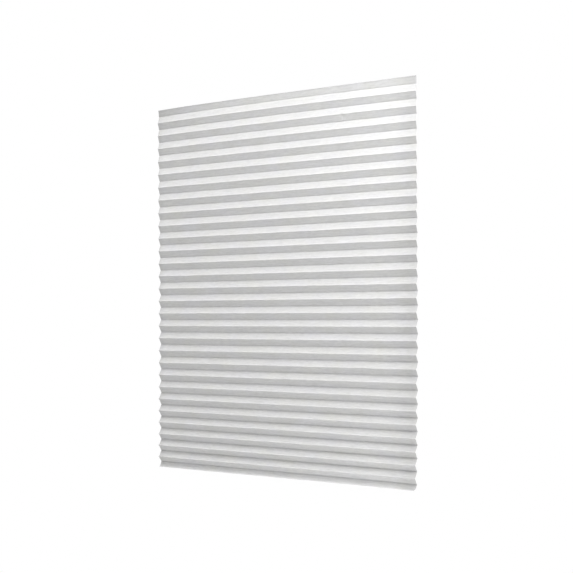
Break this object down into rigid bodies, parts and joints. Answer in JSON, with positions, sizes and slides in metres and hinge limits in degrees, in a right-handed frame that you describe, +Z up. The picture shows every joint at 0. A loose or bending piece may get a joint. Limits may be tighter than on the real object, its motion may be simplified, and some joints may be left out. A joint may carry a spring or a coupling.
{
  "type": "pleated blind",
  "caption": "Pleated window blind: a cloth sheet folded into horizontal pleats, which hangs by an adhesive tape along the back of its top edge.",
  "frame": {"origin": "centre of the outer face of the adhesive tape, along the back of the top panel", "axes": "+Z up, +X across the blind to the right as seen from the room, -Y towards the room"},
  "size_m": [1, 0.0155, 1.3148],
  "materials": {
    "pleated_fabric": "matt white non-woven polyester, faintly fibrous, creased at each fold",
    "adhesive_tape": "matt off-white double-sided mounting tape"
  },
  "bodies": {
    "root": {"pleated_sheet": "pleated_fabric", "fixing_tape": "adhesive_tape"}
  },
  "joints": []
}
